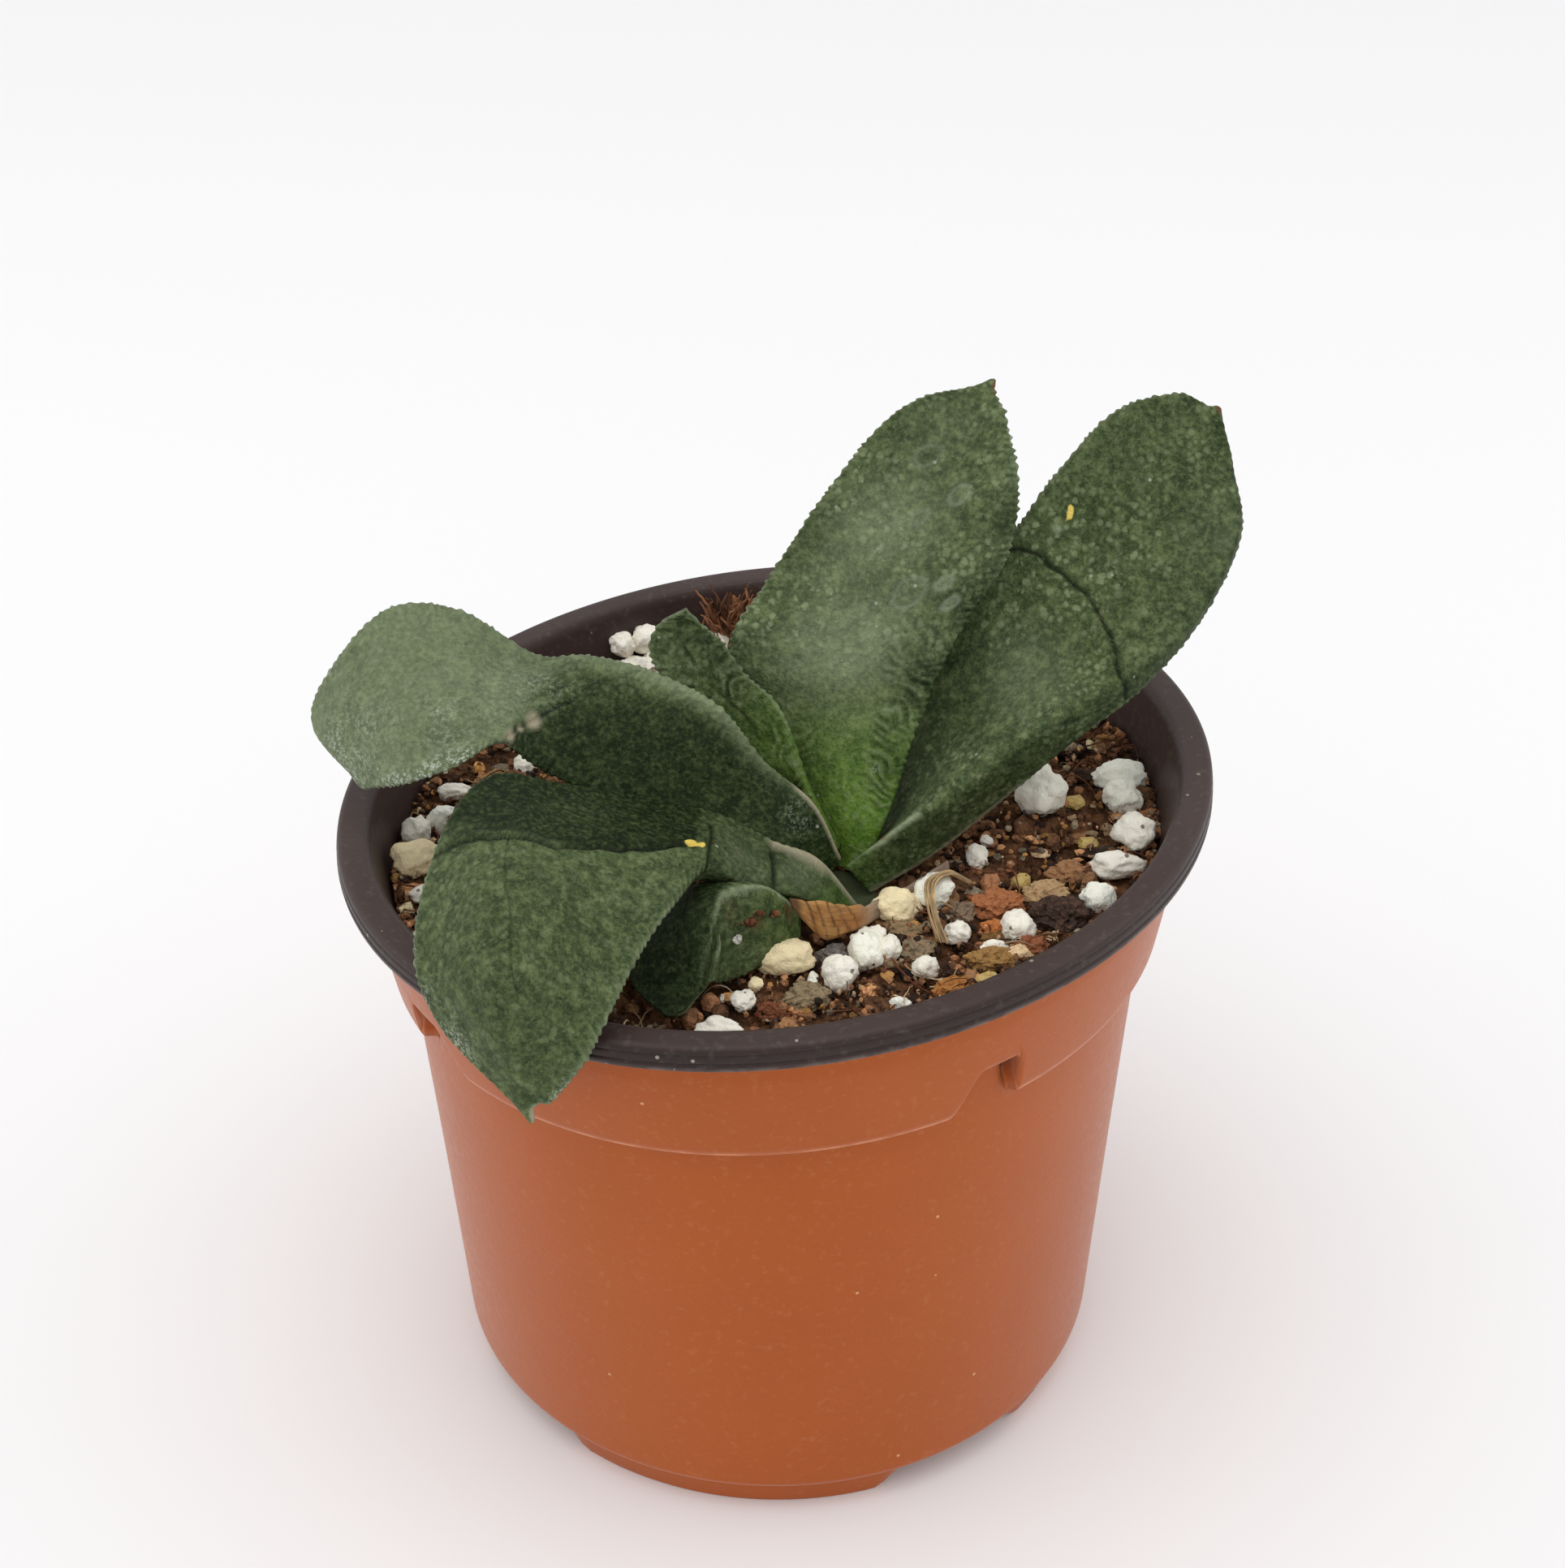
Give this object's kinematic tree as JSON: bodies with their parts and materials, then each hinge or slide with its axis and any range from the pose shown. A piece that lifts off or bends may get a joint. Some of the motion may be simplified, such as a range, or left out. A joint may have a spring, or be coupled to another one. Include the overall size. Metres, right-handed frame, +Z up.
{
  "type": "potted gasteria",
  "caption": "Young fleshy-leaved succulent with broad recurved leaves, rooted in perlite soil in a round two-tone plastic nursery pot.",
  "frame": {"origin": "on the resting plane, under the centre of the whole object's outline seen from above, less than 1 mm from the axis of the pot", "axes": "+Z up along the axis of the pot, +X to the right and +Y to the back of the plant as it is seen from the side of the drooping leaf"},
  "size_m": [0.114, 0.1038, 0.1295],
  "materials": {
    "leaf": "fleshy leaf, dark green with pale raised dots, low sheen",
    "dry_sheath": "dry papery leaf sheath, tan with dark veins",
    "root": "matt pale root bark",
    "soil": "loose peat, bark and perlite, fully matt",
    "pot": "satin moulded plastic, terracotta body with a brown-black rim"
  },
  "bodies": {
    "root": {"leaf_front_drooping": "leaf", "leaf_right": "leaf", "leaf_left_recurved": "leaf", "leaf_upright": "leaf", "leaf_young": "leaf", "leaf_low_small": "leaf", "dry_sheath": "dry_sheath", "stem_with_roots": "root", "soil": "soil", "pot": "pot"}
  },
  "joints": []
}
